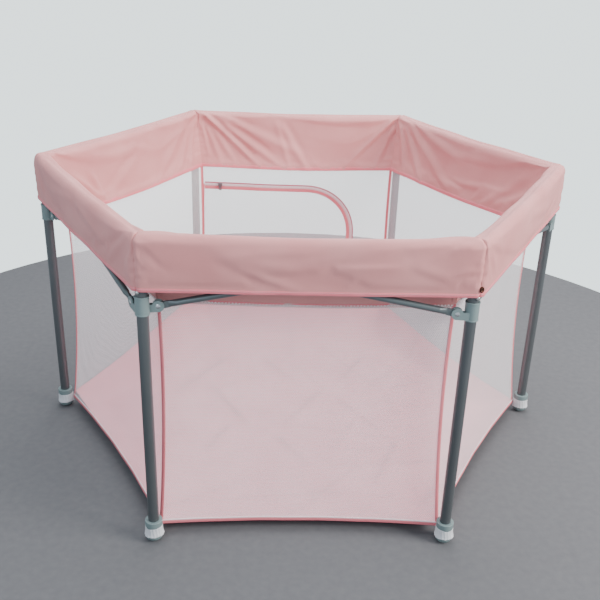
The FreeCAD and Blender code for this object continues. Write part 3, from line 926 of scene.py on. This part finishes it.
def surfaceBand(name, side, line, low, high, proud, thickness, finish, closed=False):
    # flat tape on the net along a line of (along, height), from low to high across it
    line = evenly(line, 0.006, closed)
    points = wallPoint(side, line[:, 0], line[:, 1])
    tangents = unit(np.gradient(points, axis=0))
    inward = np.broadcast_to(np.array([*inwards[side], 0.0]), points.shape)
    ups = unit(np.cross(tangents, inward))
    outs = unit(np.cross(ups, tangents))
    section = roundedSection(proud - thickness, proud, low, high, thickness * 0.35, 2)
    return sweepBand(name, points, outs, ups, section, finish)


trimSizes = {
    "corner": 0.0046,          # coral binding each side of a corner seam
    "cornerThickness": 0.0020,
    "foot": 0.0062,            # coral binding of the bottom edge
    "footTape": 0.0026,        # pale tape above it
    "seamStitchDown": 0.0105,  # stitch row below the inner hem
}


def makeNetTrim(side):
    heights = np.linspace(netBottom - 0.0005, netTop - 0.002, 50)
    edge = cornerAlong(heights)
    start = np.stack([edge, heights], axis=1)
    stop = np.stack([sideLength - edge, heights], axis=1)
    width, thick = trimSizes["corner"], trimSizes["cornerThickness"]
    for end, line, low, high in (("Start", start, -0.0002, width), ("End", stop, -width, 0.0002)):
        band = surfaceBand(f"netCorner{end}_{sideNames[side]}", side, line, -high, -low,
                           thick / 2, thick, "binding")
        withSide(band, side, None)
        middle = (low + high) / 2 + (0.0010 if end == "Start" else -0.0010)
        for face, proud in (("In", thick / 2), ("Out", -thick / 2)):
            row = wallPoint(side, line[:, 0] + middle, line[:, 1], proud)
            stitches = repeatAlong(f"corner{end}{face}Stitches_{sideNames[side]}", row, stitchSizes, "thread")
            withSide(stitches, side, None)
    foot = np.stack([np.linspace(edge[0], sideLength - edge[0], 90), np.full(90, netBottom)], axis=1)
    band = surfaceBand("netFoot_" + sideNames[side], side, foot, -0.0008, trimSizes["foot"],
                       0.0012, 0.0024, "binding")
    withSide(band, side, None)
    tape = surfaceBand("netFootTape_" + sideNames[side], side, foot, trimSizes["foot"],
                       trimSizes["foot"] + trimSizes["footTape"], 0.0008, 0.0016, "tape")
    withSide(tape, side, None)
    seam = np.stack([np.linspace(edge[-1] + 0.006, sideLength - edge[-1] - 0.006, 120),
                     np.full(120, netTop - 0.004)], axis=1)
    row = wallPoint(side, seam[:, 0], seam[:, 1], -0.0010)
    stitches = repeatAlong("netSeamStitches_" + sideNames[side], row, seamStitchSizes, "whiteThread")
    withSide(stitches, side, None)


def withDoor(piece):
    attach(piece, "door")
    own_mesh(piece)
    return piece


toothSizes = {"spacing": 0.0030, "size": (0.0019, 0.0024, 0.0022), "boxed": True, "jitter": 0.0}


def makeDoor():
    seam = doorSizes["gap"]
    hinge = doorOutline(-seam)
    inside = evenly(hinge, 0.009, True)
    places, faces = fillOutline(inside, [], 0.010)
    net = netPiece("doorNet", backSide, places, faces)
    withDoor(net)
    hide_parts("door_flap")
    width, height = np.ptp(inside, axis=0)
    min(polygonArea(inside), 0.999 * float(width * height))
    tape, band, thick = doorSizes["tape"], doorSizes["band"], doorSizes["thickness"]
    edge = doorOutline(0.0)
    # door half of the zip: tape, coral band and teeth
    for name, low, high, proud, thickness, finish, slotName in (
            ("doorTape", seam, tape, thick / 2, thick, "tape", "net_fabric"),
            ("doorBand", tape, tape + band, 0.0009, 0.0018, "binding", "cover_fabric")):
        piece = surfaceBand(name, backSide, edge, low, high, proud, thickness, finish)
        withDoor(piece)
    for name, low, high, proud, thickness, finish, slotName in (
            ("wallTape", -tape, -seam, thick / 2, thick, "tape", "net_fabric"),
            ("wallPiping", -tape - doorSizes["piping"], -tape, 0.0013, 0.0026, "piping", "cover_fabric")):
        piece = surfaceBand(name, backSide, edge, low, high, proud, thickness, finish)
        withSide(piece, backSide, None)
    for name, grow, proud in (("doorTeeth", -0.0011, 0.0012), ("wallTeeth", 0.0011, 0.0012)):
        line = evenly(doorOutline(grow), 0.004)
        row = wallPoint(backSide, line[:, 0], line[:, 1], proud)
        teeth = repeatAlong(name, row, toothSizes, "teeth")
        if name == "doorTeeth":
            withDoor(teeth)
        else:
            withSide(teeth, backSide, None)
    hingeLine = np.array([(doorHingeLow + 0.0006, doorLow.z), (doorHingeTop + 0.0006, doorHigh.z)])
    binding = surfaceBand("doorHingeBinding", backSide, hingeLine, -0.0036, 0.0, 0.0012, 0.0024, "binding")
    withSide(binding, backSide, None)


for side in range(6):
    makeNetWall(side)
    makeNetTrim(side)
makeDoor()
print("nets: six walls with bindings and seams, and the zipped door")


# ---- the floor fabric ----

floorSizes = {
    "level": 0.0028,
    "slopeInset": 0.080,       # where the rim starts to rise
    "rimHeight": netBottom + 0.0006,
    "rearLift": 0.074,         # the cloth climbs the nets at the rear
    "frontLift": 0.004,
    "liftFrom": -0.14, "liftTo": 0.50,
    "leftMore": 0.020,
    "crease": 0.0042,          # height of a full fold
    "creaseWidth": 0.007,
    "flankWidth": 0.035,       # the cloth stays up on one flank
    "shadeLineWidth": 0.0055,       # painted shade: the darker line along a fold
    "seam": 0.0022,            # folds from the middle to the corners
    "mostHeight": 0.0105,
    "lattice": 0.0085,
    "wedges": 10,              # gores beside each corner, each riding on its leg
    "creases": 30,             # weaker folds at random places
    "creaseArea": 0.42,
    "creaseTurns": [8, 31, 52, 66, 97, 118, 142, 171],
    "foldRows": 3,             # pressed folds from packing, on a square grid in the middle
    "foldPitch": 0.19,
    "foldTurn": 60.0,          # degrees from the front edge, leaning left and right by turns
    "foldStray": 0.03,
    "foldHalf": (0.07, 0.16),  # half the length
}


def floorLift(places):
    climb = smooth(places[:, 1], floorSizes["liftFrom"], floorSizes["liftTo"])
    lean = floorSizes["leftMore"] * places[:, 0] / 0.3
    return floorSizes["frontLift"] + climb * (floorSizes["rearLift"] - lean)


def floorInset(side, along, height):
    return wallInset(side, along, height) + 0.0016


def floorOutline():
    ring = []
    for side in range(6):
        share = np.linspace(0, 1, 56)[:-1]
        along = share * sideLength
        rim = floorSizes["rimHeight"] + floorLift(onSide(side, along, wallSizes["bottomInset"], 0.0)[:, :2])
        first = cornerAlong(rim) + 0.0016 * mitre
        along = first + share * (sideLength - 2 * first)
        ring.append(onSide(side, along, floorInset(side, along, rim), 0.0)[:, :2])
    return np.vstack(ring)


def floorShape(places):
    # rim that rises to the nets, and the creases of a cloth that was kept folded, with painted shade along
    # each fold
    rim = np.zeros(len(places))
    edge = np.full(len(places), 1.0)
    for side in range(6):
        offset = places - np.array(corners[side])
        along = offset @ np.array(alongs[side])
        inset = offset @ np.array(inwards[side])
        rimLevel = floorSizes["rimHeight"] + floorLift(places)
        away = inset - floorInset(side, np.clip(along, 0, sideLength), rimLevel)
        reach = floorSizes["slopeInset"] - wallSizes["bottomInset"]
        rise = 1 - np.clip(away / reach, 0, 1)
        rim = np.maximum(rim, rise ** 1.5)
        edge = np.minimum(edge, away)
    draw = np.random.default_rng(11)
    height = np.zeros(len(places))
    foldShadeLines = np.zeros(len(places))
    pressed = []
    rows = floorSizes["foldRows"]
    for k in range(rows * rows):
        place = np.array([k % rows, k // rows]) - (rows - 1) / 2
        middle = place * floorSizes["foldPitch"] + draw.normal(0, floorSizes["foldStray"], 2)
        angle = math.radians(floorSizes["foldTurn"]) * (-1) ** k + draw.normal(0, 0.08)
        pressed.append((*middle, angle, draw.uniform(*floorSizes["foldHalf"]), 1.0))
    for _ in range(floorSizes["creases"]):
        middle = draw.uniform(-floorSizes["creaseArea"], floorSizes["creaseArea"], 2)
        angle = draw.choice(np.radians(floorSizes["creaseTurns"])) + draw.normal(0, 0.06)
        pressed.append((*middle, angle, draw.uniform(0.06, 0.24), draw.uniform(0.2, 0.6)))
    for x, y, angle, length, share in pressed:
        middle, depth = np.array([x, y]), share * floorSizes["crease"]
        run = np.array([math.cos(angle), math.sin(angle)])
        offset = places - middle
        forward, across = offset @ run, offset @ np.array([-run[1], run[0]])
        fade = 1 - smooth(np.abs(forward), length * 0.5, length)
        side = draw.choice([-1.0, 1.0])
        flank = np.exp(-np.abs(across) / floorSizes["creaseWidth"])
        flank = flank + 0.45 * np.exp(-np.abs(across) / floorSizes["flankWidth"]) * (across * side > 0)
        height += depth * fade * flank
        # painted shade: a darker line along each fold, which the floor material reads
        foldShadeLines = np.maximum(foldShadeLines, fade * share * np.exp(-np.abs(across) / floorSizes["shadeLineWidth"]))
    for corner in corners:
        run = np.array(corner.normalized())
        forward, across = places @ run, places @ np.array([-run[1], run[0]])
        height += floorSizes["seam"] * np.exp(-np.abs(across) / 0.006) * smooth(forward, 0.05, 0.2)
    height = np.minimum(height, floorSizes["mostHeight"]) * smooth(edge, 0.0, 0.02)
    climb = floorSizes["rimHeight"] + floorLift(places) - floorSizes["level"]
    return floorSizes["level"] + climb * rim + height, foldShadeLines


def makeFloor():
    outline = floorOutline()
    places, faces = fillOutline(outline, [], floorSizes["lattice"])
    faces = np.array(faces)
    heights, foldShadeLines = floorShape(places)
    points = np.column_stack([places, heights])
    a, b, c = (points[faces[:, k]] for k in range(3))
    flats = np.cross(b - a, c - a)
    flip = flats[:, 2] < 0
    faces[flip] = faces[flip][:, ::-1]
    flats[flip] *= -1
    normals = np.zeros_like(points)
    for k in range(3):
        np.add.at(normals, faces[:, k], flats)
    normals = unit(normals)
    areas = np.linalg.norm(flats, axis=1) / 2
    centres = points[faces].mean(axis=1)[:, :2]
    gaps = np.stack([np.linalg.norm(centres - np.array(corner), axis=1) for corner in corners], axis=1)
    nearest = gaps.argmin(axis=1)
    step = 120 / floorSizes["wedges"]
    for index, corner in enumerate(corners):
        toMiddle = -np.array(corner.normalized())
        sideways = np.array([-toMiddle[1], toMiddle[0]])
        offset = centres - np.array(corner)
        angle = np.degrees(np.arctan2(offset @ sideways, offset @ toMiddle))
        wedge = np.clip(((angle + 60) / step).astype(int), 0, floorSizes["wedges"] - 1)
        for number in range(floorSizes["wedges"]):
            chosen = (nearest == index) & (wedge == number)
            used, local = np.unique(faces[chosen], return_inverse=True)
            local = local.reshape(-1, 3)
            name = f"floorGore_{cornerNames[index]}_{number}"
            piece = makePiece(name, points[used], [tuple(int(k) for k in f) for f in local], "floor",
                              places[used])
            # the crease attribute carries the painted shade along the folds
            crease = piece.data.attributes.new("crease", "FLOAT", "POINT")
            crease.data.foreach_set("value", foldShadeLines[used].astype(np.float32))
            piece.data.normals_split_custom_set_from_vertices([tuple(n) for n in normals[used]])
            turn = math.radians((number + 0.5) * step - 60)
            axis = toMiddle * math.cos(turn) + sideways * math.sin(turn)
            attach(piece, legBodies[index])
            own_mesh(piece)
            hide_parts("floor_mat")
            offsets = points[used][:, :2] - np.array(corner)
            length = np.ptp(offsets @ axis)
            width = np.ptp(offsets @ np.array([-axis[1], axis[0]]))
            area = float(areas[chosen].sum())
            if area < 0.3 * width * length:
                width = area / (0.34 * length)


makeFloor()


# ---- straps that tie the net to the feet, and the cover's eyelet ----

strapSizes = {"radius": 0.0169, "thickness": 0.0014, "low": 0.0140, "high": 0.0362, "reach": 0.0034,
              "around": 72, "up": 10}


def makeFootStrap(index):
    corner = corners[index]
    toMiddle = math.atan2(-corner.y, -corner.x)
    around = np.linspace(0, 2 * math.pi, strapSizes["around"], endpoint=False)
    share = np.linspace(0, 1, strapSizes["up"])[:, None]
    offset = np.angle(np.exp(1j * (around - toMiddle)))
    dip = 0.0030 * np.exp(-((np.abs(offset) - math.pi) / 0.9) ** 2)
    low = strapSizes["low"] + 0.0005 * np.sin(7 * around + index)
    high = strapSizes["high"] - dip + 0.0005 * np.sin(5 * around + 2 * index)
    height = low + share * (high - low)
    pleat = (0.00045 * np.sin(17 * around + 3 * index + 2.5 * share)
             + 0.0003 * np.sin(29 * around - 4 * share))
    flare = 0.0024 * (1 - share) ** 3 * (1 + 0.3 * np.sin(3 * around + index))
    pull = strapSizes["reach"] * np.exp(-(offset / 0.22) ** 2) * (1 - 0.5 * share)
    radius = strapSizes["radius"] + pleat + flare + pull
    points = np.stack([corner.x + radius * np.cos(around), corner.y + radius * np.sin(around), height],
                      axis=-1)
    uv = np.stack(np.broadcast_arrays(around * strapSizes["radius"], height), axis=-1)
    piece = makePiece("footStrap_" + cornerNames[index], points,
                      gridFaces(strapSizes["up"], strapSizes["around"], wrapColumns=True), "elastic", uv)
    applyModifier(piece, "SOLIDIFY", thickness=strapSizes["thickness"], offset=0.0)
    applyModifier(piece, "SUBSURF", levels=1, render_levels=1)
    piece.data.shade_smooth()
    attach(piece, legBodies[index])
    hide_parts("foot_straps")


for index in range(6):
    makeFootStrap(index)

eyeletSizes = {"width": 0.0092, "height": 0.0116, "up": 0.0140, "depth": 0.0018}


def makeEyelet(index):
    # pressed oval eyelet at the foot of the cover's corner seam
    corner = corners[index]
    out = np.array([*corner.normalized(), 0.0])
    across = np.array([-out[1], out[0], 0.0])
    up = np.array([0.0, 0.0, 1.0])
    centre = np.array([*corner, outerHemHeight + eyeletSizes["up"]]) + out * (coverHalf + 0.0006)
    rings = []
    # share of the radius and share of the depth, from the hole over the rim to the back
    profile = [(0.28, 0.10), (0.46, 0.25), (0.58, 0.75), (0.74, 1.0), (0.90, 0.85), (1.0, 0.2), (1.0, -0.9)]
    around = np.linspace(0, 2 * math.pi, 40, endpoint=False)
    for share, lift in profile:
        rings.append(centre + out * lift * eyeletSizes["depth"]
                     + across * (share * eyeletSizes["width"] / 2 * np.cos(around))[:, None]
                     + up * (share * eyeletSizes["height"] / 2 * np.sin(around))[:, None])
    points = np.vstack([*rings, [centre + out * 0.1 * eyeletSizes["depth"]]])
    count = len(around)
    faces = gridFaces(len(rings), count, wrapColumns=True)
    faces += [(k, (k + 1) % count, len(points) - 1) for k in range(count)]
    faces.append(tuple((len(rings) - 1) * count + k for k in range(count)))
    piece = makePiece("cornerEyelet_" + cornerNames[index], points, faces, "eyelet")
    turnOutwards(piece)
    sharpen(piece, 60)
    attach(piece, legBodies[index])


makeEyelet(3)
print("straps and eyelet")


# ---- stage, light and camera ----

stageSizes = {"radius": 1.35, "low": -0.0005, "edges": 96, "dark": (96, 96, 99), "light": (110, 110, 112)}


def makeStage():
    radius, low, edges = stageSizes["radius"], stageSizes["low"], stageSizes["edges"]
    around = np.linspace(0, 2 * math.pi, edges, endpoint=False)
    mesh = bpy.data.meshes.new("studioFloor")
    rim = [(radius * math.cos(angle), radius * math.sin(angle), low) for angle in around]
    mesh.from_pydata(rim, [], [tuple(range(edges))])
    floor = bpy.data.objects.new("studioFloor", mesh)
    scene.collection.objects.link(floor)
    f = Finish("greyFloor", Roughness=0.8, Specular_IOR_Level=0.2)
    grain = f.noise(f.objectPlace(), 60.0, 3.0)
    base = f.mix(grain, srgb(*stageSizes["dark"]), srgb(*stageSizes["light"]))
    mesh.materials.append(f.set(Base_Color=base))


lightSizes = {
    "key": {"at": (2.9, -1.45, 1.9), "watts": 172, "size": 1.5, "colour": (1.0, 0.97, 0.94)},
    "fill": {"at": (-1.6, -2.5, 1.9), "watts": 30, "size": 2.2, "colour": (0.74, 0.88, 1.0)},
    "top": {"at": (0.1, 0.6, 2.9), "watts": 88, "size": 2.4, "colour": (1.0, 1.0, 1.0)},
    "back": {"at": (0.4, 2.4, 2.0), "watts": 30, "size": 1.8, "colour": (0.97, 0.98, 1.0)},
}
worldSizes = {
    "glow": {"colour": (0.82, 0.91, 1.0, 1), "strength": 0.74},       # lights the scene
    "backdrop": {"colour": (0.83, 0.93, 0.95, 1), "strength": 2.1},   # what the camera sees behind it
}


def makeLights():
    aim = Vector((0, 0, 0.3))
    for name, spec in lightSizes.items():
        light = bpy.data.lights.new(name, "AREA")
        light.energy, light.size, light.color = spec["watts"], spec["size"], spec["colour"]
        holder = bpy.data.objects.new(name, light)
        holder.location = spec["at"]
        holder.rotation_euler = (aim - Vector(spec["at"])).to_track_quat("-Z", "Y").to_euler()
        scene.collection.objects.link(holder)


def makeWorld():
    world = bpy.data.worlds.new("studio")
    world.use_nodes = True
    nodes, links = world.node_tree.nodes, world.node_tree.links
    glow = nodes["Background"]
    backdrop = nodes.new("ShaderNodeBackground")
    for shader, name in ((glow, "glow"), (backdrop, "backdrop")):
        shader.inputs["Color"].default_value = worldSizes[name]["colour"]
        shader.inputs["Strength"].default_value = worldSizes[name]["strength"]
    seen = nodes.new("ShaderNodeLightPath")
    mixed = nodes.new("ShaderNodeMixShader")
    links.new(seen.outputs["Is Camera Ray"], mixed.inputs[0])
    links.new(glow.outputs[0], mixed.inputs[1])
    links.new(backdrop.outputs[0], mixed.inputs[2])
    links.new(mixed.outputs[0], nodes["World Output"].inputs["Surface"])
    scene.world = world


cameraSizes = {"at": (-0.0656, -1.862, 1.148), "pitch": 24.29, "yaw": 2.15, "roll": 1.84, "lens": 49.56}


def makeCamera():
    camera = bpy.data.cameras.new("camera")
    camera.lens, camera.sensor_width = cameraSizes["lens"], 36.0
    camera.clip_start, camera.clip_end = 0.05, 50
    pitch, yaw, roll = (math.radians(cameraSizes[key]) for key in ("pitch", "yaw", "roll"))
    forward = Vector((math.sin(yaw) * math.cos(pitch), math.cos(yaw) * math.cos(pitch), -math.sin(pitch)))
    right = forward.cross(Vector((0, 0, 1))).normalized()
    up = right.cross(forward)
    turnedRight = right * math.cos(roll) + up * math.sin(roll)
    turnedUp = up * math.cos(roll) - right * math.sin(roll)
    holder = bpy.data.objects.new("camera", camera)
    holder.matrix_world = Matrix.Translation(cameraSizes["at"]) @ Matrix(
        [turnedRight, turnedUp, -forward]).transposed().to_4x4()
    scene.collection.objects.link(holder)
    scene.camera = holder


makeStage()
makeLights()
makeWorld()
makeCamera()
print("stage, lights and camera")
